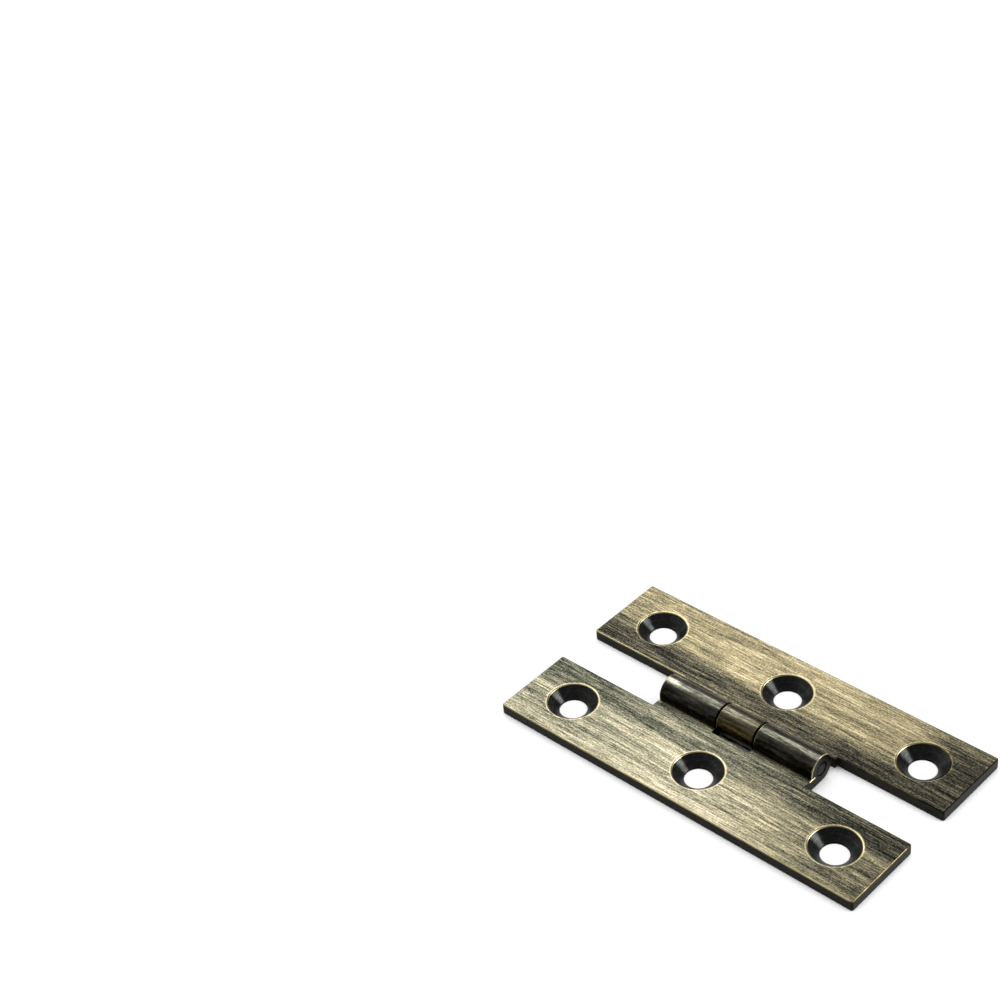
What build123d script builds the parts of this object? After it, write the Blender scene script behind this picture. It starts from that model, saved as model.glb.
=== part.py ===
from build123d import *
import math
import os

os.makedirs("parts", exist_ok=True)

# An H hinge lying open, in millimetres. X runs along the pin, the front leaf lies on the -Y side
# and the rear leaf on the +Y side, and Z is up from the plane of the leaves' backs.

# Leaves
leaf_length = 64.0
leaf_width = 13.7
leaf_thickness = 1.75
corner_radius = 0.3
edge_break = 0.15

# Tongue: the middle of each leaf reaches a little closer to the barrel than its free inner edges do
tongue_reach = 0.6
tongue_root_radius = 0.5

# Screw holes, one row in each leaf
hole_count = 3
hole_pitch = 24.0
hole_row_from_inner_edge = 6.7
screw_hole_radius = 2.1
countersink_rim_radius = 3.85
countersink_angle = 96.0

# Barrel, rolled from the leaves around the pin
barrel_radius = 2.35
barrel_length = 28.0
middle_knuckle_length = 6.6
knuckle_gap = 0.2
notch_clearance = 0.85
seam_width = 0.12

# Pin, gripped by the front leaf's two knuckles and turning freely in the rear leaf's knuckle
pin_radius = 1.2
pin_running_clearance = 0.04
pin_end_recess = 0.05
pin_end_chamfer = 0.15

# The barrel's underside is level with the backs of the leaves, so the axis is one radius up
axis_height = barrel_radius
notch_edge = barrel_radius + notch_clearance
free_inner_edge = notch_edge + tongue_reach
outer_edge = free_inner_edge + leaf_width
hole_row = free_inner_edge + hole_row_from_inner_edge
outer_knuckle_start = middle_knuckle_length / 2 + knuckle_gap
barrel_end = barrel_length / 2

EDGE_ROOM = 0.45  # largest share of a wall that a rounding or chamfer may take
SAME_PLACE = 0.01  # edges this close to a place are taken to be there
broken_edge = min(edge_break, EDGE_ROOM * leaf_thickness)


def box_between(low, high):
    """A box from its lowest corner to its highest corner."""
    size = [b - a for a, b in zip(low, high)]
    return Pos(*low) * Box(*size, align=Align.MIN)


def upright_edges(blank, x, y):
    """The vertical edges that stand at distance x from the middle and at the given y."""
    at_y = blank.edges().filter_by(Axis.Z).filter_by_position(Axis.Y, y - SAME_PLACE, y + SAME_PLACE)
    return [edge for edge in at_y if abs(abs(edge.center().X) - x) < SAME_PLACE]


def blank_plate(tongue_has_corners):
    """The flat leaf with its tongue, its edges broken by tumbling."""
    leaf_end = leaf_length / 2
    plate = box_between((-leaf_end, -outer_edge, 0), (leaf_end, -free_inner_edge, leaf_thickness))
    tongue = box_between((-barrel_end, -free_inner_edge, 0), (barrel_end, -notch_edge, leaf_thickness))
    blank = plate + tongue
    corners = upright_edges(blank, leaf_end, -outer_edge) + upright_edges(blank, leaf_end, -free_inner_edge)
    if tongue_has_corners:
        corners += upright_edges(blank, barrel_end, -notch_edge)
    rounded = fillet(corners, min(corner_radius, EDGE_ROOM * tongue_reach))
    roots = upright_edges(rounded, barrel_end, -free_inner_edge)
    rounded = fillet(roots, min(tongue_root_radius, EDGE_ROOM * tongue_reach))
    faces = rounded.faces().sort_by(Axis.Z)
    return chamfer(faces[0].edges() + faces[-1].edges(), broken_edge)


def countersunk_hole(x):
    """The cutter for one screw hole: a cone from the front face down to a plain through hole."""
    cone_depth = (countersink_rim_radius - screw_hole_radius) / math.tan(math.radians(countersink_angle / 2))
    place = Pos(x, -hole_row, 0)
    through = place * Cylinder(screw_hole_radius, leaf_thickness, align=(Align.CENTER, Align.CENTER, Align.MIN))
    cone = Cone(screw_hole_radius, countersink_rim_radius, cone_depth, align=(Align.CENTER, Align.CENTER, Align.MAX))
    return through + place * Pos(0, 0, leaf_thickness) * cone


def knuckle(start, end, bore_radius):
    """One knuckle from start to end along X: the leaf runs on under the pin and is rolled up and over it,
    until its end comes down on the leaf again and leaves a fine seam along the foot of the barrel."""
    neck = notch_edge + broken_edge
    roll = Pos(0, axis_height) * Circle(barrel_radius)
    straight_foot = Pos(-barrel_radius, 0) * Rectangle(barrel_radius, axis_height, align=Align.MIN)
    root = Pos(-neck, 0) * Rectangle(neck, leaf_thickness, align=Align.MIN)
    section = roll + straight_foot + root
    body = extrude(Plane.YZ.offset(start) * section, end - start)
    ends = body.edges().filter_by(GeomType.CIRCLE)
    body = chamfer(ends, broken_edge)
    seam = box_between((start, -barrel_radius, leaf_thickness), (end, 0, leaf_thickness + seam_width))
    bore = extrude(Plane.YZ.offset(start) * Pos(0, axis_height) * Circle(bore_radius), end - start)
    return body - seam - bore


def leaf(knuckle_spans, bore_radius, tongue_has_corners):
    """A whole leaf on the -Y side of the pin, one piece with its knuckles."""
    body = blank_plate(tongue_has_corners)
    for start, end in knuckle_spans:
        body += knuckle(start, end, bore_radius)
    for index in range(hole_count):
        body -= countersunk_hole((index - (hole_count - 1) / 2) * hole_pitch)
    return body


def hinge_pin():
    """A plain pin, cut a little shorter than the barrel, with chamfered ends."""
    length = barrel_length - 2 * pin_end_recess
    pin = Pos(0, 0, axis_height) * Rot(0, 90, 0) * Cylinder(pin_radius, length)
    return chamfer(pin.edges().filter_by(GeomType.CIRCLE), min(pin_end_chamfer, EDGE_ROOM * pin_radius))


front_leaf = leaf(
    [(-barrel_end, -outer_knuckle_start), (outer_knuckle_start, barrel_end)],
    pin_radius,
    tongue_has_corners=False,
)
rear_leaf = mirror(
    leaf(
        [(-middle_knuckle_length / 2, middle_knuckle_length / 2)],
        pin_radius + pin_running_clearance,
        tongue_has_corners=True,
    ),
    about=Plane.XZ,
)

export_step(front_leaf, "parts/front_leaf.step")
export_step(rear_leaf, "parts/rear_leaf.step")
export_step(hinge_pin(), "parts/hinge_pin.step")
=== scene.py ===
# %% [markdown]
# # An H hinge in antique brass
#
# This lesson dresses a small brass H hinge that lies open on a white table. The solid model of the
# hinge is already there: two leaves and a pin, with their true sizes. We rebuild each of them with
# the fine edges that a camera sees, give them their metal, and light them. Each step says what the
# thing is on the real hinge, how it could be made in Blender, and why it is made the way it is.
#
# Everything is in metres, X runs along the pin, the front leaf lies on the -Y side, and Z is up
# from the backs of the leaves.

# %% Load the solid model
import math

import bpy
import bmesh
from mathutils import Matrix, Vector


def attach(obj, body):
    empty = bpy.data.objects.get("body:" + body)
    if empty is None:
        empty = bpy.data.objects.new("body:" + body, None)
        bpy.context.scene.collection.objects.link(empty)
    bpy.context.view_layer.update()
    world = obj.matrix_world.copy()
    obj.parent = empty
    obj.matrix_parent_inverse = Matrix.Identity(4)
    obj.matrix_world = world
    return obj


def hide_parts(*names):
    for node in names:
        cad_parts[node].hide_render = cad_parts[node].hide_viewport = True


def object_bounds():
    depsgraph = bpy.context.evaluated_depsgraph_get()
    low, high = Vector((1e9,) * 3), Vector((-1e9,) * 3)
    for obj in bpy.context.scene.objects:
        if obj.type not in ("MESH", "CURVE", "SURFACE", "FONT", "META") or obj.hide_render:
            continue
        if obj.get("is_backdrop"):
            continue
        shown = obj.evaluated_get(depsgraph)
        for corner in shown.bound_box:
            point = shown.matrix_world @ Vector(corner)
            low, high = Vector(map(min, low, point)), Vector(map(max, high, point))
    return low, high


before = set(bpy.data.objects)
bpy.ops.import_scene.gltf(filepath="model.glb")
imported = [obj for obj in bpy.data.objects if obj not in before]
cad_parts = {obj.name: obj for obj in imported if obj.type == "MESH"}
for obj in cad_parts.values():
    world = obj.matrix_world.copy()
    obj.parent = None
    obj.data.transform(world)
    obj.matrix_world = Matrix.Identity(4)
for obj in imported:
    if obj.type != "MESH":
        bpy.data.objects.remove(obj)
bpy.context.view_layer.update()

# %% [markdown]
# ## Sizes
#
# A hinge maker works from a short list: the blank of sheet brass, the row of screw holes, and the
# rolled barrel. We write the same list, in metres, so that every tree and every pattern below can
# use the names. The solid model has the same sizes, so our pieces will fill exactly its place.

# %% The hinge's sizes
MM = 0.001
leaf_length = 64.0 * MM
leaf_thickness = 1.75 * MM
corner_radius = 0.3 * MM
tongue_root_radius = 0.27 * MM
barrel_radius = 2.35 * MM
barrel_length = 28.0 * MM
middle_knuckle_length = 6.6 * MM
knuckle_gap = 0.2 * MM
seam_width = 0.12 * MM
pin_radius = 1.2 * MM
pin_running_clearance = 0.04 * MM
pin_end_recess = 0.05 * MM
pin_end_chamfer = 0.15 * MM

axis_height = barrel_radius
notch_edge = 3.2 * MM
inner_edge = 3.8 * MM
outer_edge = 17.5 * MM
hole_row = 10.5 * MM
hole_count = 3
hole_pitch = 24.0 * MM
screw_hole_radius = 2.1 * MM
countersink_rim_radius = 3.85 * MM
countersink_angle = math.radians(96)
leaf_width = outer_edge - inner_edge
print("leaf", leaf_length / MM, "by", round(leaf_width / MM, 2), "mm, barrel", barrel_length / MM, "mm")

# %% [markdown]
# ## Camera
#
# A product photographer stood a little to the right of the hinge and looked down at it. The hinge
# lies off the middle of the picture, low and to the right, so we do not aim at it: we set the
# camera's turn, height, small roll and distance, and slide it sideways and up until the hinge sits
# where it does in the picture. A lens this long keeps the leaves nearly parallel.

# %% The camera
camera_turn = math.radians(46.70)
camera_height = math.radians(36.79)
camera_roll = math.radians(-6.09)
camera_distance = 326.9 * MM
picture_side = 1000
lens_in_pixels = 2237.0
hinge_right_of_middle = 243.9
hinge_below_middle = 239.2
sensor = 36.0

right = Vector((math.cos(camera_turn), math.sin(camera_turn), 0))
back = Vector((
    math.sin(camera_turn) * math.cos(camera_height),
    -math.cos(camera_turn) * math.cos(camera_height),
    math.sin(camera_height),
))
up = back.cross(right)
rolled_right = math.cos(camera_roll) * right + math.sin(camera_roll) * up
rolled_up = -math.sin(camera_roll) * right + math.cos(camera_roll) * up
pixel = camera_distance / lens_in_pixels
leftwards = rolled_right * hinge_right_of_middle * pixel
upwards = rolled_up * hinge_below_middle * pixel
camera_place = back * camera_distance - leftwards + upwards
camera_axes = Matrix((rolled_right, rolled_up, back)).transposed().to_4x4()

camera = bpy.data.objects.new("Camera", bpy.data.cameras.new("Camera"))
bpy.context.scene.collection.objects.link(camera)
camera.data.sensor_width = sensor
camera.data.lens = lens_in_pixels * sensor / picture_side
camera.data.clip_start = 0.01
camera.matrix_world = Matrix.Translation(camera_place) @ camera_axes
bpy.context.scene.camera = camera
print("lens", round(camera.data.lens, 1), "mm, camera at", [round(v / MM) for v in camera_place], "mm")

# %% [markdown]
# ## Two helpers
#
# Colours are easiest to choose as the hex values of a paint chart, but Blender computes light with
# linear numbers, so one function turns the first into the second.
#
# The other adds a node, sets it up and joins it to the nodes before it. Its inputs come in order or
# by name, and each is a plain value, another node, or a list of nodes. Colour stops are for a ramp.
# With these two, a tree reads almost like a recipe.

# %% A colour and a node
MATH = "ShaderNodeMath"
VECTOR_MATH = "ShaderNodeVectorMath"
XYZ = "ShaderNodeCombineXYZ"


def linear(hex_colour, alpha=1.0):
    """An sRGB hex colour as linear numbers."""
    parts = [int(hex_colour[i:i + 2], 16) / 255 for i in (1, 3, 5)]
    return (*(p / 12.92 if p <= 0.04045 else ((p + 0.055) / 1.055) ** 2.4 for p in parts), alpha)


def add(tree, kind, inputs=(), stops=(), **settings):
    """Adds a node with its settings, and joins or sets its inputs."""
    node = tree.nodes.new(kind)
    for name, value in settings.items():
        setattr(node, name, value)
    while stops and len(node.color_ramp.elements) < len(stops):
        node.color_ramp.elements.new(0.5)
    for index, (position, colour) in enumerate(stops):
        node.color_ramp.elements[index].position = position
        node.color_ramp.elements[index].color = linear(colour)
    for name, value in inputs.items() if isinstance(inputs, dict) else enumerate(inputs):
        for source in value if isinstance(value, list) else [value]:
            if isinstance(source, bpy.types.Node):
                source = next(s for s in source.outputs if s.enabled)
            if isinstance(source, bpy.types.NodeSocket):
                tree.links.new(source, node.inputs[name])
            else:
                node.inputs[name].default_value = source
    return node


print("brass as linear numbers", [round(v, 3) for v in linear("#CDB98A")])

# %% [markdown]
# ## Trees that stamp, drill and roll
#
# A hinge leaf follows a rule from end to end. A press stamps the blank from sheet, a drill sinks one
# hole every 24 mm, and the middle of the blank is rolled round the pin. Geometry Nodes can follow the
# same steps in the same order, and a size then stays one number with a name. Modelling by hand would
# give the same shape once; the tree gives both leaves, and any other leaf of the family.
#
# First comes a small tree of its own, because both the blank and the rolled section need it: it
# rounds the corners of a closed outline, fills it, and presses it out to a thickness.

# %% The stamping tree
def new_tree(name, sizes):
    """An empty Geometry Nodes tree with named inputs, and the node that hands them out."""
    tree = bpy.data.node_groups.new(name, "GeometryNodeTree")
    tree.interface.new_socket("Geometry", in_out="INPUT", socket_type="NodeSocketGeometry")
    tree.interface.new_socket("Geometry", in_out="OUTPUT", socket_type="NodeSocketGeometry")
    for label, kind in sizes.items():
        tree.interface.new_socket(label, in_out="INPUT", socket_type="NodeSocket" + kind)
    return tree, tree.nodes.new("NodeGroupInput").outputs


CORNER_STEPS = 6
SAME_POINT = 1e-6
stamping, given = new_tree("Stamp an outline", {"Thickness": "Float"})
outline = add(stamping, "GeometryNodeMeshToCurve", [given["Geometry"]])
corner = add(stamping, "GeometryNodeInputNamedAttribute", {"Name": "corner"})
rounded = add(
    stamping, "GeometryNodeFilletCurve",
    {"Curve": outline, "Count": CORNER_STEPS, "Radius": corner, "Limit Radius": True}, mode="POLY",
)
sheet = add(stamping, "GeometryNodeFillCurve", [rounded], mode="NGONS")
rise = add(stamping, XYZ, {"Z": given["Thickness"]})
pressed = add(
    stamping, "GeometryNodeExtrudeMesh",
    {"Mesh": sheet, "Offset": rise, "Offset Scale": 1.0, "Individual": False},
)
underside = add(stamping, "GeometryNodeFlipFaces", [sheet])
both = add(stamping, "GeometryNodeJoinGeometry", {"Geometry": [pressed, underside]})
closed = add(stamping, "GeometryNodeMergeByDistance", {"Geometry": both, "Distance": SAME_POINT})
add(stamping, "NodeGroupOutput", [closed])
print("stamping tree:", len(stamping.nodes), "nodes")

# %% [markdown]
# ## The leaf
#
# Now the leaf's own tree. The blank is stamped, the strip that runs out of its middle is rolled over
# the whole length of the barrel, and a cutter mills out the places of the other leaf's knuckles. Then
# the screw holes are cut: a drill makes the plain hole, and a pointed countersink opens it into a
# cone. A full cone whose point lies under the leaf meets the drilled hole cleanly. Every cutter runs
# past the surface that it cuts, because two surfaces in one plane leave slivers behind.

# %% The leaf tree
leaf_tree, given = new_tree("Hinge leaf", {
    "Rolled Section": "Object",
    "Thickness": "Float",
    "Hole Count": "Int",
    "Hole Pitch": "Float",
    "Hole Row": "Float",
    "Screw Hole Radius": "Float",
    "Rim Radius": "Float",
    "Point Depth": "Float",
    "Barrel Length": "Float",
    "Barrel Radius": "Float",
    "Notch Count": "Int",
    "Notch Pitch": "Float",
    "Notch Length": "Float",
    "Notch Edge": "Float",
    "Seam Width": "Float",
    "Turn": "Float",
    "Brushed": "Material",
    "Browned": "Material",
    "Rolled": "Material",
    "Countersunk": "Material",
})


def row_of_points(count, pitch, y):
    """Points along X, one pitch apart, with the middle of the row at X 0."""
    gaps = add(leaf_tree, MATH, [count, 1.0], operation="SUBTRACT")
    half_pitch = add(leaf_tree, MATH, [pitch, -0.5], operation="MULTIPLY")
    start = add(leaf_tree, MATH, [gaps, half_pitch], operation="MULTIPLY")
    first = add(leaf_tree, XYZ, {"X": start, "Y": y})
    stride = add(leaf_tree, XYZ, {"X": pitch})
    return add(leaf_tree, "GeometryNodeMeshLine", {"Count": count, "Start Location": first, "Offset": stride})


def repeat(points, shape):
    """The shape at each of the points, as real mesh."""
    copies = add(leaf_tree, "GeometryNodeInstanceOnPoints", {"Points": points, "Instance": shape})
    return add(leaf_tree, "GeometryNodeRealizeInstances", [copies])


print("leaf tree:", len(leaf_tree.interface.items_tree), "sockets")

# %% Stamp and roll
BOOLEAN = "GeometryNodeMeshBoolean"
TRANSFORM = "GeometryNodeTransform"
blank = add(
    leaf_tree, "GeometryNodeGroup", node_tree=stamping, inputs=[given["Geometry"], given["Thickness"]],
)
section = add(leaf_tree, "GeometryNodeObjectInfo", {"Object": given["Rolled Section"]}).outputs["Geometry"]
strip = add(leaf_tree, "GeometryNodeGroup", node_tree=stamping, inputs=[section, given["Barrel Length"]])
barrel_start = add(leaf_tree, MATH, [given["Barrel Length"], -0.5], operation="MULTIPLY")
half_back = add(leaf_tree, XYZ, {"X": barrel_start})
along_pin = (math.pi / 2, 0.0, math.pi / 2)
rolled = add(leaf_tree, TRANSFORM, {"Geometry": strip, "Translation": half_back, "Rotation": along_pin})
joined = add(leaf_tree, BOOLEAN, {"Mesh 2": [blank, rolled]}, operation="UNION", solver="EXACT")
print("stamped and rolled:", len(leaf_tree.nodes), "nodes")

# %% Mill the notches
CUT = {"operation": "DIFFERENCE", "solver": "EXACT"}
cutter_size = add(leaf_tree, XYZ, {
    "X": given["Notch Length"],
    "Y": add(leaf_tree, MATH, [given["Notch Edge"], 2.0], operation="MULTIPLY"),
    "Z": add(leaf_tree, MATH, [given["Barrel Radius"], 3.0], operation="MULTIPLY"),
})
mill = add(leaf_tree, "GeometryNodeMeshCube", {"Size": cutter_size})
to_axis = add(leaf_tree, XYZ, {"Z": given["Barrel Radius"]})
raised = add(leaf_tree, TRANSFORM, {"Geometry": mill, "Translation": to_axis})
mills = repeat(row_of_points(given["Notch Count"], given["Notch Pitch"], 0.0), raised)
notched = add(leaf_tree, BOOLEAN, {"Mesh 1": joined, "Mesh 2": mills}, **CUT)
print("notches milled:", len(leaf_tree.nodes), "nodes")

# %% Drill and countersink
ROUND_STEPS = 128
CUTTER_REACH = 1.5
row_y = add(leaf_tree, MATH, [given["Hole Row"], -1.0], operation="MULTIPLY")
hole_points = row_of_points(given["Hole Count"], given["Hole Pitch"], row_y)
drill_length = add(leaf_tree, MATH, [given["Thickness"], 4.0], operation="MULTIPLY")
drill = add(
    leaf_tree, "GeometryNodeMeshCylinder",
    {"Vertices": ROUND_STEPS, "Radius": given["Screw Hole Radius"], "Depth": drill_length},
)
cone = add(leaf_tree, "GeometryNodeMeshCone", {
    "Vertices": ROUND_STEPS,
    "Radius Top": add(leaf_tree, MATH, [given["Rim Radius"], CUTTER_REACH], operation="MULTIPLY"),
    "Radius Bottom": 0.0,
    "Depth": add(leaf_tree, MATH, [given["Point Depth"], CUTTER_REACH], operation="MULTIPLY"),
})
point_height = add(leaf_tree, MATH, [given["Thickness"], given["Point Depth"]], operation="SUBTRACT")
to_point = add(leaf_tree, XYZ, {"Z": point_height})
sunk = add(leaf_tree, TRANSFORM, {"Geometry": cone, "Translation": to_point})
drilled = add(leaf_tree, BOOLEAN, {"Mesh 1": notched, "Mesh 2": repeat(hole_points, drill)}, **CUT)
countersunk = add(leaf_tree, BOOLEAN, {"Mesh 1": drilled, "Mesh 2": repeat(hole_points, sunk)}, **CUT)
clean = add(leaf_tree, "GeometryNodeMergeByDistance", {"Geometry": countersunk, "Distance": SAME_POINT})
print("holes cut:", len(leaf_tree.nodes), "nodes, each hole in", ROUND_STEPS, "steps")

# %% [markdown]
# ## Where the edges are rounded, and which finish goes where
#
# A real leaf has no knife edges, because it was tumbled before it was browned. A Bevel modifier
# rounds the edges afterwards, and the tree tells it how much: it stores a weight on every outward
# edge, small on the lip of the seam and at the bottom of the holes, and none inside the seam and the
# bore, where a wide rounding would close the gap.
#
# The tree hands out the finishes too, and it can do both by place alone, because the hinge is so
# regular. What points up or down on the flat was brushed after browning, what lies on the barrel was
# brushed more lightly, the cones were turned, and all the rest kept the black.

# %% Distances from the pin and from the holes
place_of = add(leaf_tree, "ShaderNodeSeparateXYZ", [add(leaf_tree, "GeometryNodeInputPosition")]).outputs
above_axis = add(leaf_tree, MATH, [place_of["Z"], given["Barrel Radius"]], operation="SUBTRACT")
across_pin_axis = add(leaf_tree, XYZ, {"Y": place_of["Y"], "Z": above_axis})
from_axis = add(leaf_tree, VECTOR_MATH, [across_pin_axis], operation="LENGTH").outputs["Value"]
half_pitch = add(leaf_tree, MATH, [given["Hole Pitch"], 0.5], operation="MULTIPLY")
minus_half_pitch = add(leaf_tree, MATH, [given["Hole Pitch"], -0.5], operation="MULTIPLY")
along_hole = add(leaf_tree, MATH, [place_of["X"], half_pitch, minus_half_pitch], operation="WRAP")
from_pin = add(leaf_tree, MATH, [place_of["Y"]], operation="ABSOLUTE")
across_hole = add(leaf_tree, MATH, [from_pin, given["Hole Row"]], operation="SUBTRACT")
to_hole = add(leaf_tree, XYZ, {"X": along_hole, "Y": across_hole})
from_hole = add(leaf_tree, VECTOR_MATH, [to_hole], operation="LENGTH").outputs["Value"]
print("distances measured:", len(leaf_tree.nodes), "nodes")

# %% How much each edge is rounded
LIP_SHARE = 0.6
HOLE_SHARE = 0.4
JUST_INSIDE = 0.99
JUST_OUTSIDE = 1.02
corner_from = math.radians(30)
lip_zone = 0.05 * MM
angle = add(leaf_tree, "GeometryNodeInputMeshEdgeAngle").outputs["Signed Angle"]
outward = add(leaf_tree, MATH, [angle, corner_from], operation="GREATER_THAN")
inside = add(leaf_tree, MATH, [given["Barrel Radius"], JUST_INSIDE], operation="MULTIPLY")
outside_barrel = add(leaf_tree, MATH, [from_axis, inside], operation="GREATER_THAN")
lip_y = add(leaf_tree, MATH, [given["Barrel Radius"], -1.0], operation="MULTIPLY")
by_lip = add(leaf_tree, MATH, [place_of["Y"], lip_y, lip_zone], operation="COMPARE")
lip_height = add(leaf_tree, MATH, [given["Seam Width"], 1.5, given["Thickness"]], operation="MULTIPLY_ADD")
under_lip = add(leaf_tree, MATH, [place_of["Z"], lip_height], operation="LESS_THAN")
foot = add(leaf_tree, MATH, [given["Thickness"], JUST_INSIDE], operation="MULTIPLY")
over_foot = add(leaf_tree, MATH, [place_of["Z"], foot], operation="GREATER_THAN")
seam_band = add(leaf_tree, MATH, [under_lip, over_foot], operation="MULTIPLY")
on_lip = add(leaf_tree, MATH, [by_lip, seam_band], operation="MULTIPLY")
lip_weight = add(leaf_tree, MATH, [on_lip, LIP_SHARE - 1.0, 1.0], operation="MULTIPLY_ADD")
hole_wall = add(leaf_tree, MATH, [given["Screw Hole Radius"], JUST_OUTSIDE], operation="MULTIPLY")
on_hole = add(leaf_tree, MATH, [from_hole, hole_wall], operation="LESS_THAN")
hole_weight = add(leaf_tree, MATH, [on_hole, HOLE_SHARE - 1.0, 1.0], operation="MULTIPLY_ADD")
wanted = add(leaf_tree, MATH, [outward, outside_barrel], operation="MULTIPLY")
share = add(leaf_tree, MATH, [lip_weight, hole_weight], operation="MULTIPLY")
weight = add(leaf_tree, MATH, [wanted, share], operation="MULTIPLY")
weighed = add(
    leaf_tree, "GeometryNodeStoreNamedAttribute",
    {"Geometry": clean, "Name": "bevel_weight_edge", "Value": weight}, data_type="FLOAT", domain="EDGE",
)
print("edges weighed: lip", LIP_SHARE, "and bottoms of the holes", HOLE_SHARE, "of the full rounding")

# %% Which face gets which finish
SET_MATERIAL = "GeometryNodeSetMaterial"
LEVEL_FROM = 0.99
END_FROM = 0.5
SKIN = 1.05
CONE_LEAN, LEAN_ROOM = 0.7, 0.15
normal = add(leaf_tree, "GeometryNodeInputNormal").outputs["Normal"]
facing = add(leaf_tree, "ShaderNodeSeparateXYZ", [normal]).outputs
upright = add(leaf_tree, MATH, [facing["Z"]], operation="ABSOLUTE")
level = add(leaf_tree, MATH, [upright, LEVEL_FROM], operation="GREATER_THAN")
off_barrel = add(leaf_tree, MATH, [from_pin, given["Barrel Radius"]], operation="GREATER_THAN")
flat_faces = add(leaf_tree, MATH, [level, off_barrel], operation="MULTIPLY")
endways = add(leaf_tree, MATH, [facing["X"]], operation="ABSOLUTE")
across_pin = add(leaf_tree, MATH, [endways, END_FROM], operation="LESS_THAN")
skin = add(leaf_tree, MATH, [given["Barrel Radius"], SKIN], operation="MULTIPLY")
within_skin = add(leaf_tree, MATH, [from_axis, skin], operation="LESS_THAN")
on_roll = add(leaf_tree, MATH, [across_pin, within_skin], operation="MULTIPLY")
sloping = add(leaf_tree, MATH, [upright, CONE_LEAN, LEAN_ROOM], operation="COMPARE")
within_rim = add(leaf_tree, MATH, [from_hole, given["Rim Radius"]], operation="LESS_THAN")
on_cone = add(leaf_tree, MATH, [sloping, within_rim], operation="MULTIPLY")
turn = add(leaf_tree, XYZ, {"Z": given["Turn"]})
turned = add(leaf_tree, TRANSFORM, {"Geometry": weighed, "Rotation": turn})
finished = add(leaf_tree, "GeometryNodeRealizeInstances", [turned])
finished = add(leaf_tree, SET_MATERIAL, {"Geometry": finished, "Material": given["Browned"]})
for chosen, finish in ((flat_faces, "Brushed"), (on_roll, "Rolled"), (on_cone, "Countersunk")):
    choice = {"Geometry": finished, "Selection": chosen, "Material": given[finish]}
    finished = add(leaf_tree, SET_MATERIAL, choice)
add(leaf_tree, "NodeGroupOutput", [finished])
print("leaf tree:", len(leaf_tree.nodes), "nodes")

# %% [markdown]
# ## Making a piece
#
# Four small functions do the handwork. The first draws an outline as a mesh of points and edges, with
# the rounding of each corner stored beside it. The second turns what the modifiers make into a plain
# mesh, and the third runs a tree on an object, handing it the sizes by name.
#
# The last rounds the weighed edges and gives them the worn finish. Cutting leaves spare edges on the
# flat faces, and a bevel that meets one beside a corner would slide along it, so they are dissolved
# first. Weighted normals then keep the wide flats flat, and the small roundings carry the whole turn
# of the light.


# %% Draw an outline, keep a mesh
def draw_outline(name, points, corners):
    """A closed outline as an object: its points in order, and each corner's rounding."""
    mesh = bpy.data.meshes.new(name)
    count = len(points)
    mesh.from_pydata([(x, y, 0) for x, y in points], [(i, (i + 1) % count) for i in range(count)], [])
    mesh.attributes.new("corner", "FLOAT", "POINT").data.foreach_set("value", corners)
    piece = bpy.data.objects.new(name, mesh)
    bpy.context.scene.collection.objects.link(piece)
    return piece


def keep_result(piece):
    """Turns what the modifiers make of the piece into its own plain mesh."""
    made = bpy.data.meshes.new_from_object(piece.evaluated_get(bpy.context.evaluated_depsgraph_get()))
    piece.modifiers.clear()
    made.name = piece.name
    piece.data = made


print("pieces to make:", sorted(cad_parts))

# %% Run a tree, round the edges
EDGE_ROUNDING = 0.15 * MM
EDGE_STEPS = 3
FLAT_WITHIN = math.radians(0.2)
SHARP_FROM = math.radians(40)


def run_tree(piece, tree, sizes):
    """Runs the tree on the piece with the named sizes, and keeps the mesh."""
    modifier = piece.modifiers.new(tree.name, "NODES")
    modifier.node_group = tree
    for item in tree.interface.items_tree:
        if item.name in sizes:
            modifier[item.identifier] = sizes[item.name]
    keep_result(piece)
    if piece.data.materials[0] is None:
        piece.data.materials.pop(index=0)


def round_edges(piece, worn_finish):
    """Rounds the weighed edges, gives them the worn finish and keeps the mesh."""
    spare = piece.modifiers.new("Spare edges", "DECIMATE")
    spare.decimate_type = "DISSOLVE"
    spare.angle_limit = FLAT_WITHIN
    spare.delimit = {"MATERIAL"}
    keep_result(piece)
    piece.data.materials.append(worn_finish)
    bevel = piece.modifiers.new("Tumbled edges", "BEVEL")
    bevel.limit_method = "WEIGHT"
    bevel.width = EDGE_ROUNDING
    bevel.segments = EDGE_STEPS
    bevel.material = len(piece.data.materials) - 1
    bevel.use_clamp_overlap = False
    bevel.loop_slide = False
    keep_result(piece)
    piece.data.shade_smooth()
    piece.data.set_sharp_from_angle(angle=SHARP_FROM)
    piece.modifiers.new("Even normals", "WEIGHTED_NORMAL").keep_sharp = True
    keep_result(piece)


print("edges will be rounded to", EDGE_ROUNDING / MM, "mm in", EDGE_STEPS, "steps")

# %% [markdown]
# ## Patterns measured in millimetres
#
# Every mark on this hinge has a real size: a brush leaves scratches a few hundredths of a millimetre
# wide and several millimetres long, and the browning gathers in patches as large as a fingertip. So
# each material turns Object coordinates into millimetres first, and each noise is told how long and
# how wide its marks are. Object coordinates stay with the piece when the hinge folds.
#
# The finest scratches are drawn about 0.2 mm wide, wider than they are, because a picture this size
# shows nothing finer.

# %% Coordinates and marks
def metal(name):
    """A metal material with an empty body, and the node that takes its colour, roughness and bump."""
    made = bpy.data.materials.new(name)
    made.use_nodes = True
    made.node_tree.nodes.clear()
    body = add(made.node_tree, "ShaderNodeBsdfPrincipled", {"Metallic": 1.0})
    add(made.node_tree, "ShaderNodeOutputMaterial", [body.outputs["BSDF"]])
    return made, made.node_tree, body


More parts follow.
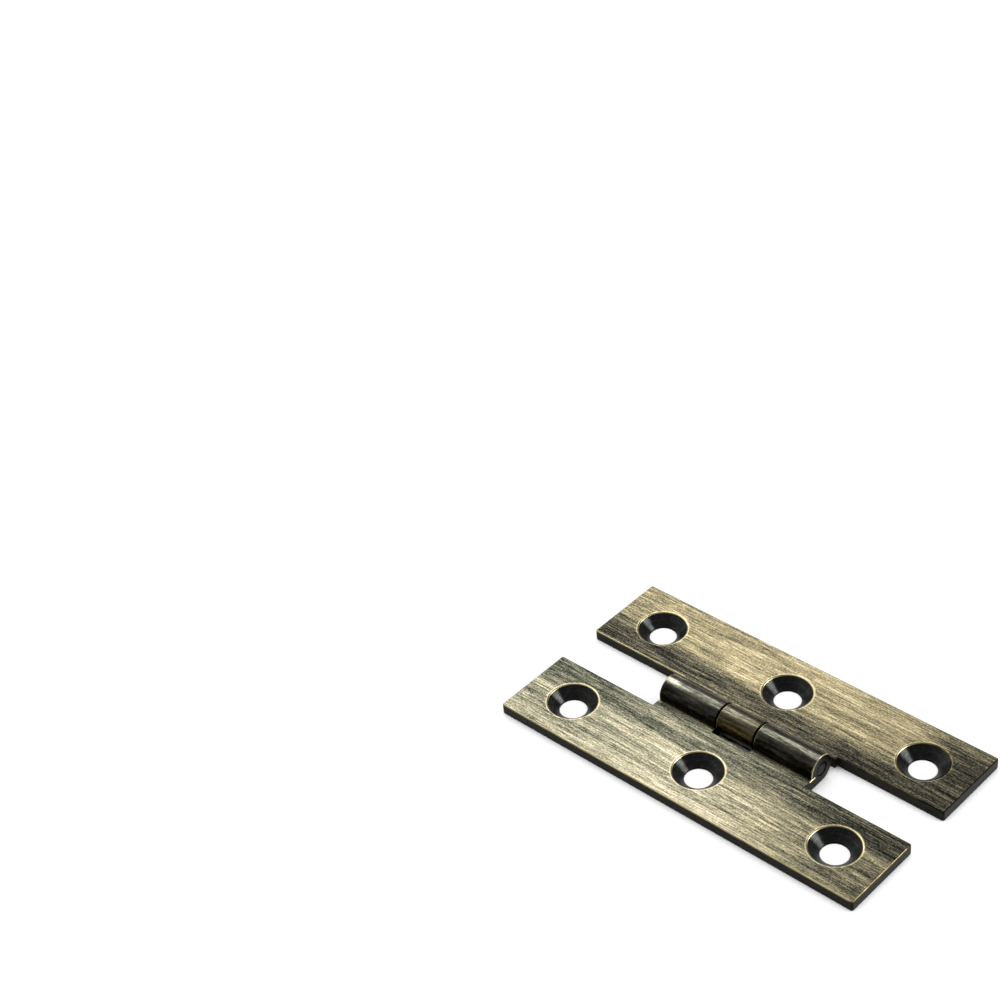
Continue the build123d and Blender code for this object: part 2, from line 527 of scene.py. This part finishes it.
def millimetres(tree):
    """Object coordinates in millimetres: the whole vector, and x, y and z apart."""
    place = add(tree, "ShaderNodeTexCoord").outputs["Object"]
    whole = add(tree, VECTOR_MATH, {0: place, "Scale": 1 / MM}, operation="SCALE")
    return whole, add(tree, "ShaderNodeSeparateXYZ", [whole]).outputs


def marks(tree, place, length, width, share, onto, detail=2.0, seed=0.0):
    """Adds noise to a value. Its marks are so long along X and so wide, in millimetres, and a share of
    1 makes the value swing by about half."""
    elsewhere = (seed, seed * 1.7, seed * 0.6)
    size = (1 / length, 1 / width, 1 / width)
    scaled = add(tree, "ShaderNodeMapping", {"Vector": place, "Location": elsewhere, "Scale": size})
    settings = {"Vector": scaled, "Scale": 1.0, "Detail": detail, "Roughness": 0.6}
    noise = add(tree, "ShaderNodeTexNoise", settings)
    swing = add(tree, MATH, [noise.outputs["Fac"], 0.5], operation="SUBTRACT")
    return add(tree, MATH, [swing, share, onto], operation="MULTIPLY_ADD")


def across_scratches(tree, scratches):
    """The direction on the surface that lies across the scratches, for a shine that spreads that way."""
    normal = add(tree, "ShaderNodeNewGeometry").outputs["Normal"]
    return add(tree, VECTOR_MATH, [normal, scratches], operation="CROSS_PRODUCT")


print("a hairline of 0.2 mm is", round(0.2 * MM / pixel, 1), "pixels wide at the middle of the hinge")

# %% [markdown]
# ## Brushed antique brass
#
# The faces of the leaves were browned in a bath and then brushed lengthwise, until the brass came
# through again in fine streaks. That gives the eye a pale gold that is never even: dark hairlines,
# longer grey veils, and faces that run darker beside the barrel and towards the right ends.
#
# Brass keeps the default IOR and is fully metallic. One value, the rub, says how far the brush got:
# 0 is the black of the bath and 1 is bare brass, and on top of that it carries some painted light.
# Colour, roughness and bump all follow it, because on the real leaf they are one and the same thing.
# The scratches run along X and spread the shine across them, which is what anisotropy does, so the
# tangent is told where across is.
#
# A Map Range node, here called SPREAD, fades the rub over a stretch of the leaf. Its numbers say
# where the fade starts and ends, in millimetres, and what it gives there.

# %% How light the faces run, across the leaf and along it
SPREAD = "ShaderNodeMapRange"
SMOOTH = {"interpolation_type": "SMOOTHSTEP"}
brushed_face, tree, body = metal("Brushed antique brass")
place, (x, y, z) = millimetres(tree)
from_pin = add(tree, MATH, [y], operation="ABSOLUTE")
on_front = add(tree, SPREAD, [y, 1.0, -1.0, 0.0, 1.0])

# The faces run darker beside the barrel, and towards the right end of each leaf.
rear_darker_by_barrel = add(tree, SPREAD, [from_pin, 5.8, 10.2, 0.06, 0.38], **SMOOTH)
rear_right_darkening = add(tree, SPREAD, [x, 18.0, 29.0, 0.0, 1.0], **SMOOTH)
outer_share = add(tree, SPREAD, [from_pin, 12.0, 17.0, 0.94, 0.7], **SMOOTH)
rear_right_darkening = add(tree, MATH, [rear_right_darkening, outer_share], operation="MULTIPLY")
rear_left = add(tree, MATH, [1.0, rear_right_darkening], operation="SUBTRACT")
rear_rub = add(tree, MATH, [rear_darker_by_barrel, rear_left, 0.3], operation="MULTIPLY_ADD")

front_darker_by_barrel = add(tree, SPREAD, [from_pin, 7.0, 9.6, 0.48, 0.66], **SMOOTH)
front_right_darkening = add(tree, SPREAD, [x, 4.0, 30.0, 0.0, -0.2], **SMOOTH)
outer_part = add(tree, SPREAD, [from_pin, 15.0, 17.5, 0.0, 0.05])
front_rub = add(tree, MATH, [front_darker_by_barrel, front_right_darkening], operation="ADD")
front_rub = add(tree, MATH, [front_rub, outer_part], operation="ADD")

rub_and_painted_light = add(tree, "ShaderNodeMix", {0: on_front, 2: rear_rub, 3: front_rub})
left_end = add(tree, SPREAD, [x, -2.0, -20.0, 0.0, -0.09], **SMOOTH)
rub_and_painted_light = add(tree, MATH, [rub_and_painted_light, left_end], operation="ADD")
print("reach of the brush:", len(tree.nodes), "nodes")

# %% Veils, streaks and hairlines
for length, width, share, detail, seed in (
    (24.0, 6.0, 0.12, 2.0, 23.0),  # veils of browning
    (26.0, 1.0, 0.62, 3.0, 4.0),  # streaks of the brush
    (5.5, 0.24, 0.72, 1.0, 0.0),  # long hairlines
    (1.5, 0.22, 0.5, 1.0, 40.0),  # short hairlines
    (0.3, 0.2, 0.5, 0.0, 52.0),  # the grain of the bath
):
    rub_and_painted_light = marks(tree, place, length, width, share, rub_and_painted_light, detail, seed)
    print("marks", length, "by", width, "mm")


# %% Pale rings at the countersinks: worn brass and a painted highlight
def from_nearest_hole(tree, x, y):
    """The distance in millimetres from the middle of the nearest screw hole."""
    half_pitch = hole_pitch / MM / 2
    along_row = add(tree, MATH, [x, half_pitch, -half_pitch], operation="WRAP")
    from_pin = add(tree, MATH, [y], operation="ABSOLUTE")
    across_row = add(tree, MATH, [from_pin, hole_row / MM], operation="SUBTRACT")
    to_hole = add(tree, XYZ, {"X": along_row, "Y": across_row})
    return add(tree, VECTOR_MATH, [to_hole], operation="LENGTH").outputs["Value"]


# Partly worn brass and partly a painted highlight: the face just outside each rim is lightened all round,
# where the rounded rim itself catches the lamps only in places.
RING_STARTS, RING_ENDS, RING_WEAR_AND_HIGHLIGHT = 0.36, 0.14, 0.3
rim = countersink_rim_radius / MM
from_hole = from_nearest_hole(tree, x, y)
ring = add(tree, SPREAD, [from_hole, rim + RING_STARTS, rim + RING_ENDS, 0.0, RING_WEAR_AND_HIGHLIGHT], **SMOOTH)
on_front_side = add(tree, MATH, [z, leaf_thickness / MM / 2], operation="GREATER_THAN")
ring = add(tree, MATH, [ring, on_front_side], operation="MULTIPLY")
rub_and_painted_light = add(tree, MATH, [rub_and_painted_light, ring], operation="ADD", use_clamp=True)
print("rings out to", rim + RING_STARTS, "mm from the middle of a hole")

# %% Colour, roughness and scratches of the faces
warm = add(tree, "ShaderNodeValToRGB", [rub_and_painted_light], stops=[
    (0.1, "#1A1916"), (0.25, "#424138"), (0.4, "#6A6757"),
    (0.6, "#A59A78"), (0.75, "#CEBF94"), (0.95, "#FAECC4"),
])
cool = add(tree, "ShaderNodeValToRGB", [rub_and_painted_light], stops=[
    (0.1, "#191A17"), (0.25, "#3E423B"), (0.4, "#666958"),
    (0.6, "#A29D85"), (0.75, "#CBC2A3"), (0.95, "#FBEFD1"),
])
front_warmth = add(tree, SPREAD, [x, 0.0, 28.0, 0.0, 0.75])
coolness = add(tree, MATH, [1.0, front_warmth], operation="SUBTRACT")
cold_share = add(tree, MATH, [on_front, coolness], operation="MULTIPLY")
colour = add(tree, "ShaderNodeMix", {0: cold_share, 6: warm, 7: cool}, data_type="RGBA")
tree.links.new(colour.outputs[2], body.inputs["Base Color"])
tree.links.new(add(tree, SPREAD, [rub_and_painted_light, 0.1, 0.9, 0.46, 0.36]).outputs[0], body.inputs["Roughness"])
scratches = add(tree, "ShaderNodeBump", {"Height": rub_and_painted_light, "Strength": 0.2, "Distance": 0.02 * MM})
tree.links.new(scratches.outputs[0], body.inputs["Normal"])
body.inputs["Anisotropic"].default_value = 0.75
tree.links.new(across_scratches(tree, (1.0, 0.0, 0.0)).outputs[0], body.inputs["Tangent"])
print(brushed_face.name, len(tree.nodes), "nodes")

# %% [markdown]
# ## Browned brass
#
# Where no brush goes, the browning stays: the sawn sides and the ends of the knuckles are nearly
# black, with a dull sheen and a trace of brown. It is still metal, so it mirrors the table darkly
# instead of looking painted.

# %% The browned sides
browned, tree, body = metal("Browned brass")
place, _ = millimetres(tree)
mottle = marks(tree, place, 1.4, 0.7, 1.6, 0.45, detail=4.0, seed=3.0)
brown = add(tree, "ShaderNodeValToRGB", [mottle], stops=[
    (0.2, "#0B0B09"), (0.5, "#161611"), (0.8, "#27241B"),
])
tree.links.new(brown.outputs[0], body.inputs["Base Color"])
tree.links.new(add(tree, SPREAD, [mottle, 0.0, 1.0, 0.36, 0.5]).outputs[0], body.inputs["Roughness"])
saw_marks = add(tree, "ShaderNodeBump", {"Height": mottle, "Strength": 0.3, "Distance": 0.02 * MM})
tree.links.new(saw_marks.outputs[0], body.inputs["Normal"])
print(browned.name, len(tree.nodes), "nodes")

# %% [markdown]
# ## The turned cones
#
# A countersink leaves rings, because its edges go round and round. Rings spread the shine up and
# down the cone and keep it narrow sideways, so each cone shows a few grey wedges that point at its
# middle, on metal as dark as the sides. The wedges need no drawing: the surface only has to know
# which way its rings run, and that is square to the cone's slope and level with the leaf.

# %% The cones
RINGS_PER_MM = 6.0
turned_cone, tree, body = metal("Turned and browned brass")
place, (x, y, _) = millimetres(tree)
outwards = add(tree, XYZ, {"X": from_nearest_hole(tree, x, y)})
ring_noise = add(tree, "ShaderNodeTexNoise", {"Vector": outwards, "Scale": RINGS_PER_MM, "Detail": 2.0})
mottle = marks(tree, place, 0.8, 0.8, 0.9, ring_noise.outputs["Fac"], detail=3.0, seed=9.0)
dark = add(tree, "ShaderNodeValToRGB", [mottle], stops=[
    (0.2, "#2A2C2A"), (0.5, "#3A3C3A"), (0.8, "#505350"),
])
tree.links.new(dark.outputs[0], body.inputs["Base Color"])
body.inputs["Roughness"].default_value = 0.32
body.inputs["Anisotropic"].default_value = 1.0
hole_axis = add(
    tree, "ShaderNodeVectorTransform", [(0.0, 0.0, 1.0)],
    vector_type="VECTOR", convert_from="OBJECT", convert_to="WORLD",
)
normal = add(tree, "ShaderNodeNewGeometry").outputs["Normal"]
rings = add(tree, VECTOR_MATH, [hole_axis, normal], operation="CROSS_PRODUCT")
tree.links.new(across_scratches(tree, rings).outputs[0], body.inputs["Tangent"])
print(turned_cone.name, len(tree.nodes), "nodes")

# %% [markdown]
# ## The rolled barrel
#
# The knuckles are round, so a brush touches only a line of them. They stay dark and fairly smooth,
# and mirror the studio: a pale strip where they face the lamp, black where they face the dark room,
# and the leaf's own face along the foot. Their colour is also lighter towards the top and darker low
# down, partly from the brush's line along the top and partly as painted shade. The middle knuckle
# belongs to the other leaf and was rubbed a little more, down to a golden brown, and a pale patch on
# top of the left end of the barrel is a painted highlight.

# %% The barrel
rolled_finish, tree, body = metal("Lightly brushed antique brass")
place, (x, y, z) = millimetres(tree)
# Partly the brush's line along the top and partly painted shade: the barrel is darker low down and lighter
# towards its top.
rub_and_painted_light = add(tree, SPREAD, [z, 2.7, 4.5, 0.2, 0.52], **SMOOTH)
rub_and_painted_light = marks(tree, place, 5.0, 0.9, 0.5, rub_and_painted_light, detail=3.0, seed=31.0)
rub_and_painted_light = marks(tree, place, 5.0, 0.24, 0.65, rub_and_painted_light, detail=1.0, seed=5.0)
rub_and_painted_light = marks(tree, place, 0.8, 0.24, 0.45, rub_and_painted_light, detail=1.0, seed=17.0)
# Painted highlight: a pale patch on top of the barrel's left end.
highlight_at_left_end = add(tree, SPREAD, [x, -10.8, -12.4, 0.0, 1.0], **SMOOTH)
highlight_on_top = add(tree, SPREAD, [y, -0.9, -0.5, 0.0, 0.22], **SMOOTH)
rub_and_painted_light = add(tree, MATH, [highlight_at_left_end, highlight_on_top, rub_and_painted_light], operation="MULTIPLY_ADD", use_clamp=True)
dark = add(tree, "ShaderNodeValToRGB", [rub_and_painted_light], stops=[
    (0.05, "#11100C"), (0.25, "#2B281F"), (0.45, "#57554B"), (0.7, "#8F8D7E"), (1.0, "#F4EFD6"),
])
golden = add(tree, "ShaderNodeValToRGB", [rub_and_painted_light], stops=[
    (0.05, "#1A160B"), (0.25, "#5A4D2A"), (0.45, "#86784E"), (0.7, "#B5AC8A"), (1.0, "#F0E4B8"),
])
middle = middle_knuckle_length / MM / 2 + knuckle_gap / MM / 2
on_middle = add(tree, MATH, [x, 0.0, middle], operation="COMPARE")
low_down = add(tree, SPREAD, [z, 4.5, 4.0, 0.2, 1.0])
gold_share = add(tree, MATH, [on_middle, low_down], operation="MULTIPLY")
colour = add(tree, "ShaderNodeMix", {0: gold_share, 6: dark, 7: golden}, data_type="RGBA")
tree.links.new(colour.outputs[2], body.inputs["Base Color"])
tree.links.new(add(tree, SPREAD, [rub_and_painted_light, 0.2, 0.8, 0.3, 0.22]).outputs[0], body.inputs["Roughness"])
scratches = add(tree, "ShaderNodeBump", {"Height": rub_and_painted_light, "Strength": 0.25, "Distance": 0.02 * MM})
tree.links.new(scratches.outputs[0], body.inputs["Normal"])
body.inputs["Anisotropic"].default_value = 0.5
tree.links.new(across_scratches(tree, (1.0, 0.0, 0.0)).outputs[0], body.inputs["Tangent"])
print(rolled_finish.name, len(tree.nodes), "nodes")

# %% [markdown]
# ## Worn edges
#
# Hands and the brush wear an edge before they wear a face, so the upper edges are rubbed through to
# pale brass. The wear is not even: it is strongest along the outer edges, at the rims of the
# countersinks and on the knuckles' rims, weaker beside the barrel and at the right end of the rear
# leaf, and the lower edges, which nobody touches, are still browned. So are the rims of the bores.
# The right rims of the left and the middle knuckle are painted dark, as painted shade beside the next
# knuckle, and the edges at the very right ends are painted a little darker, as painted shade that
# dims their glint.

# %% The worn edges
BARREL_ENDS = 2.6
BORE_ENDS = 1.6
KNUCKLES_RIGHT_RIMS = (-3.6, 3.2)
RIM_WIDTH = 0.17
worn_edge, tree, body = metal("Worn brass edge")
place, (x, y, z) = millimetres(tree)
from_pin = add(tree, MATH, [y], operation="ABSOLUTE")
face_height = leaf_thickness / MM
upper = add(tree, SPREAD, [z, face_height - 0.3, face_height - 0.05, 0.0, 1.0], **SMOOTH)
by_barrel = add(tree, SPREAD, [from_pin, 5.2, 4.2, 0.0, 1.0])
off_barrel = add(tree, SPREAD, [from_pin, BARREL_ENDS, BARREL_ENDS + 0.3, 0.0, 1.0])
inner = add(tree, MATH, [by_barrel, off_barrel], operation="MULTIPLY")
on_rear = add(tree, SPREAD, [y, -1.0, 1.0, 0.0, 1.0])
left_part = add(tree, SPREAD, [x, -13.0, -15.0, 0.0, 1.0])
rear_left_edge = add(tree, MATH, [left_part, on_rear], operation="MULTIPLY")
inner_share = add(tree, MATH, [0.8, rear_left_edge], operation="SUBTRACT")
inner = add(tree, MATH, [inner, inner_share], operation="MULTIPLY")
right_part = add(tree, SPREAD, [x, 20.0, 28.0, 0.0, 1.0])
rear_right_edge = add(tree, MATH, [right_part, on_rear], operation="MULTIPLY")
unworn_and_shaded = add(tree, MATH, [inner, rear_right_edge], operation="MAXIMUM")
print("edges beside the barrel and at the right end:", len(tree.nodes), "nodes")

# %% Edges that the brush missed, and painted shade on rims and right ends
above_axis = add(tree, MATH, [z, barrel_radius / MM], operation="SUBTRACT")
across_pin_axis = add(tree, XYZ, {"Y": y, "Z": above_axis})
from_axis = add(tree, VECTOR_MATH, [across_pin_axis], operation="LENGTH").outputs["Value"]
bore_edge = add(tree, MATH, [from_axis, BORE_ENDS], operation="LESS_THAN")
unworn_and_shaded = add(tree, MATH, [unworn_and_shaded, bore_edge], operation="MAXIMUM")
on_barrel = add(tree, MATH, [from_pin, BARREL_ENDS], operation="LESS_THAN")
# Painted shade: the right rims of the left and the middle knuckle are darkened.
for right_rim in KNUCKLES_RIGHT_RIMS:
    rim_place = add(tree, MATH, [x, right_rim, RIM_WIDTH], operation="COMPARE")
    at_rim = add(tree, MATH, [rim_place, on_barrel], operation="MULTIPLY")
    unworn_and_shaded = add(tree, MATH, [unworn_and_shaded, at_rim], operation="MAXIMUM")
left_of_wear = add(tree, MATH, [unworn_and_shaded, -0.85, 1.0], operation="MULTIPLY_ADD")
wear_and_shade = add(tree, MATH, [upper, left_of_wear], operation="MULTIPLY")
# Painted shade: the edges at the very right ends are darkened a little, which dims their glint.
right_end = add(tree, SPREAD, [x, 31.3, 31.7, 0.72, 0.44])
wear_and_shade = add(tree, MATH, [wear_and_shade, right_end], operation="MULTIPLY")
wear_and_shade = marks(tree, place, 3.0, 0.8, 0.5, wear_and_shade, detail=3.0, seed=7.0)
worn = add(tree, "ShaderNodeValToRGB", [wear_and_shade], stops=[
    (0.1, "#15140F"), (0.35, "#5A5032"), (0.6, "#B9AA74"), (0.85, "#EADFB6"),
])
tree.links.new(worn.outputs[0], body.inputs["Base Color"])
tree.links.new(add(tree, SPREAD, [wear_and_shade, 0.0, 1.0, 0.42, 0.26]).outputs[0], body.inputs["Roughness"])
print(worn_edge.name, len(tree.nodes), "nodes")

# %% [markdown]
# ## The rolled section and the blank
#
# The knuckle starts as the leaf's own strip. It runs on under the pin, goes round it and over the
# top, and comes down on the leaf again, where its end leaves a fine seam. We draw that section once
# as points: the outside from the root round to the lip, and then the bore on the way back.
#
# The blank is drawn as seen from the front. A short tongue in its middle carries the strip, and its
# two roots are rounded, because a sharp inner corner would tear in the press. The tongue is drawn a
# hair narrower than the strip, so that the two never share a plane.

# %% The section of a knuckle
ARC_STEPS = 72
overlap = 0.5 * MM
hair = 0.01 * MM


def arc(radius, start, end):
    """Points on a circle round the pin, from one angle to another, in degrees from +Y."""
    steps = max(2, round(ARC_STEPS * abs(end - start) / 360))
    angles = [math.radians(start + (end - start) * i / steps) for i in range(steps + 1)]
    return [(radius * math.cos(a), axis_height + radius * math.sin(a)) for a in angles]


def rolled_section(name, bore_radius):
    """The section of a knuckle across the pin, with the seam where the strip's end meets the leaf."""
    lip = leaf_thickness + seam_width
    root = -inner_edge - overlap
    upper = math.degrees(math.asin((axis_height - lip) / bore_radius))
    lower = math.degrees(math.asin((axis_height - leaf_thickness) / bore_radius))
    outside = [(root, 0.0), *arc(barrel_radius, -90, 180), (-barrel_radius, lip)]
    bore = arc(bore_radius, 180 + upper, -180 + lower)
    points = [*outside, *bore, (root, leaf_thickness)]
    return draw_outline(name, points, [0.0] * len(points))


print("half a turn of the roll has", len(arc(barrel_radius, 0, 180)), "points")


# %% The outline of the blank
def leaf_outline(name):
    """The blank with its tongue, seen from the front."""
    end, tongue = leaf_length / 2, barrel_length / 2 - hair
    tongue_edge = (inner_edge + notch_edge) / 2
    half = [(end, -outer_edge), (end, -inner_edge), (tongue, -inner_edge), (tongue, -tongue_edge)]
    radii = [corner_radius, corner_radius, tongue_root_radius, 0.0]
    points = half + [(-x, y) for x, y in reversed(half)]
    return draw_outline(name, points, radii + radii[::-1])


print("the tongue reaches", round((inner_edge - notch_edge) / MM, 2), "mm closer to the pin")

# %% [markdown]
# ## The two leaves
#
# Both leaves come from one tree. The front leaf keeps the two outer knuckles, so it has one notch
# in its middle, and grips the pin. The rear leaf keeps the middle knuckle, has a notch on each side
# of it, turns freely on the pin, and is turned half round so that it faces the other.

# %% Make the leaves
common = {
    "Thickness": leaf_thickness, "Hole Count": hole_count, "Hole Pitch": hole_pitch, "Hole Row": hole_row,
    "Screw Hole Radius": screw_hole_radius, "Rim Radius": countersink_rim_radius,
    "Point Depth": countersink_rim_radius / math.tan(countersink_angle / 2),
    "Barrel Length": barrel_length, "Barrel Radius": barrel_radius,
    "Notch Edge": notch_edge, "Seam Width": seam_width,
    "Brushed": brushed_face, "Browned": browned, "Rolled": rolled_finish, "Countersunk": turned_cone,
}
past_end = 1.0 * MM
front_notch = middle_knuckle_length + 2 * knuckle_gap
rear_notch = (barrel_length - middle_knuckle_length) / 2 + past_end

front = leaf_outline("leaf_front")
front_section = rolled_section("front section", pin_radius)
run_tree(front, leaf_tree, {
    **common, "Rolled Section": front_section,
    "Notch Count": 1, "Notch Pitch": 0.0, "Notch Length": front_notch, "Turn": 0.0,
})
rear = leaf_outline("leaf_rear")
rear_section = rolled_section("rear section", pin_radius + pin_running_clearance)
run_tree(rear, leaf_tree, {
    **common, "Rolled Section": rear_section,
    "Notch Count": 2, "Notch Pitch": middle_knuckle_length + rear_notch, "Notch Length": rear_notch,
    "Turn": math.pi,
})
for piece, drawing in ((front, front_section), (rear, rear_section)):
    round_edges(piece, worn_edge)
    bpy.data.objects.remove(drawing)
    print(piece.name, len(piece.data.polygons), "faces", [m.name for m in piece.data.materials])

# %% [markdown]
# ## The pin
#
# The pin is plain wire, cut level with the barrel and chamfered so that it drives in easily. Only its
# two ends show. It is drawn as a profile of a few points and spun round its axis: a lathe does the
# same, and the slightly rounded end of cut wire comes with the profile.

# %% Spin the pin
PIN_STEPS = 64
half_pin = barrel_length / 2 - pin_end_recess
end_profile = [
    (half_pin - pin_end_chamfer * 1.6, pin_radius),
    (half_pin - pin_end_chamfer, pin_radius - pin_end_chamfer * 0.12),
    (half_pin - pin_end_chamfer * 0.45, pin_radius - pin_end_chamfer * 0.45),
    (half_pin - pin_end_chamfer * 0.12, pin_radius - pin_end_chamfer),
    (half_pin - pin_end_chamfer * 0.03, pin_radius * 0.5),
]
profile = [(-x, r) for x, r in reversed(end_profile)] + end_profile
shape = bmesh.new()
rings = []
for x, r in profile:
    turns = [2 * math.pi * i / PIN_STEPS for i in range(PIN_STEPS)]
    rings.append([shape.verts.new((x, r * math.cos(a), axis_height + r * math.sin(a))) for a in turns])
for ring, beside in zip(rings, rings[1:]):
    for i in range(PIN_STEPS):
        after = (i + 1) % PIN_STEPS
        shape.faces.new((ring[i], beside[i], beside[after], ring[after]))
for ring, x in ((rings[0], -half_pin), (rings[-1], half_pin)):
    tip = shape.verts.new((x, 0, axis_height))
    for i in range(PIN_STEPS):
        shape.faces.new((ring[i], ring[(i + 1) % PIN_STEPS], tip))
bmesh.ops.recalc_face_normals(shape, faces=shape.faces)
pin = bpy.data.objects.new("pin", bpy.data.meshes.new("pin"))
bpy.context.scene.collection.objects.link(pin)
shape.to_mesh(pin.data)
shape.free()
pin.data.shade_smooth()
pin.data.materials.append(browned)
print("pin", round(2 * half_pin / MM, 2), "mm long,", len(pin.data.polygons), "faces")

# %% [markdown]
# ## Fixing the pieces to the solid model
#
# Each piece stands for one solid and moves with one body of the mechanism. The pin is gripped by the
# front leaf's knuckles, so it rides with that leaf, and the rear leaf swings round it.

# %% Ride and replace
for piece, body, node, slot in (
    (front, "fixed_leaf", "front_leaf", "leaf_brass"),
    (rear, "swinging_leaf", "rear_leaf", "leaf_brass"),
    (pin, "fixed_leaf", "hinge_pin", "pin_brass"),
):
    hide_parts(node)
    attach(piece, body)
    print(piece.name, "stands for", node, "and rides on", body)

# %% [markdown]
# ## The table
#
# The hinge lies on white paper that is lit until it is as white as the picture can be. More light
# would do that and spoil the brass, so the paper glows a little by itself, only towards the camera
# and in mirrors, which is what Light Path tells us. Under the hinge and in the notches no light gets
# in, and there the glow must stop and the paper go dark: ambient occlusion measures how open each
# spot is.

# %% Paper
GLOW = 1.12
PAPER_SHARE = 0.12
table_size = 3.0
below_hinge = 0.05 * MM
table = bpy.data.objects.new("table", bpy.data.meshes.new("table"))
bpy.context.scene.collection.objects.link(table)
corners = [(-1, -1), (1, -1), (1, 1), (-1, 1)]
corners = [(x * table_size, y * table_size, -below_hinge) for x, y in corners]
table.data.from_pydata(corners, [], [(0, 1, 2, 3)])
table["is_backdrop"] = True
paper = bpy.data.materials.new("White paper")
paper.use_nodes = True
tree = paper.node_tree
tree.nodes.clear()
rays = add(tree, "ShaderNodeLightPath").outputs
glow = add(tree, "ShaderNodeEmission", {"Color": linear("#FFFFFF"), "Strength": GLOW})
seen = add(tree, MATH, [rays["Is Camera Ray"], rays["Is Glossy Ray"]], operation="MAXIMUM")
seen = add(tree, MATH, [seen, rays["Is Transmission Ray"]], operation="MAXIMUM")
openness = add(tree, "ShaderNodeAmbientOcclusion", {"Distance": 6.0 * MM}, samples=4).outputs["AO"]
in_gap = add(tree, "ShaderNodeValToRGB", [openness], stops=[(0.2, "#262626"), (0.4, "#F4F4F2")])
matte = add(tree, "ShaderNodeBsdfDiffuse", {"Color": in_gap.outputs[0]})
lit = add(tree, SPREAD, [openness, 0.4, 0.55, 0.0, 1.0 - PAPER_SHARE])
glow_share = add(tree, MATH, [seen, lit], operation="MULTIPLY")
mixed = add(tree, "ShaderNodeMixShader", [glow_share, matte, glow])
add(tree, "ShaderNodeOutputMaterial", [mixed])
table.data.materials.append(paper)
print("table", 2 * table_size, "m wide")

# %% [markdown]
# ## The light
#
# Brass shows its lamps, so the lamps are placed by what the metal mirrors. The barrel's pale strip
# lies a little in front of its top and ends sharply on both sides: that takes a wide softbox, high
# behind and to the left. The brushed faces smear the same lamp out across their scratches and glow
# evenly. The grey wedges in the countersinks ask for a second, small and bright softbox, behind and
# to the right, because each cone picks up only a narrow slice of it. A dim grey room does the rest.
# We give a lamp its brightness, and work out its power from that, so that it can be made larger
# without growing brighter.

# %% The studio
ROOM_LIGHT = 0.15
world = bpy.data.worlds.new("Studio")
bpy.context.scene.world = world
world.use_nodes = True
world.node_tree.nodes["Background"].inputs["Color"].default_value = linear("#FFFFFF")
world.node_tree.nodes["Background"].inputs["Strength"].default_value = ROOM_LIGHT


def softbox(name, turn, height, distance, width, tall, brightness):
    """A lamp that looks at the hinge, from a turn and a height in degrees as the camera's are."""
    a, e = math.radians(turn), math.radians(height)
    away = Vector((math.sin(a) * math.cos(e), -math.cos(a) * math.cos(e), math.sin(e)))
    lamp = bpy.data.objects.new(name, bpy.data.lights.new(name, "AREA"))
    lamp.data.shape = "RECTANGLE"
    lamp.data.size, lamp.data.size_y = width, tall
    lamp.data.energy = brightness * math.pi * width * tall
    facing_hinge = away.to_track_quat("Z", "Y").to_matrix().to_4x4()
    lamp.matrix_world = Matrix.Translation(away * distance) @ facing_hinge
    bpy.context.scene.collection.objects.link(lamp)
    print(name, round(lamp.data.energy, 2), "W")


softbox("wide softbox", turn=243, height=49, distance=1.0, width=0.65, tall=0.65, brightness=2.35)
softbox("small softbox", turn=136, height=40, distance=1.0, width=0.45, tall=0.3, brightness=14.0)

view = bpy.context.scene.view_settings
view.view_transform = "Standard"

# %% [markdown]
# ## Sizes and finish
#
# Last we measure how far the dressed model reaches, because fine edges and finishes must not make a
# part larger than it is.

# %% Sizes and finish
dressed_low, dressed_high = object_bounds()
low, high = ([round(v / MM, 3) for v in corner] for corner in (dressed_low, dressed_high))
print("dressed model from", low, "to", high)
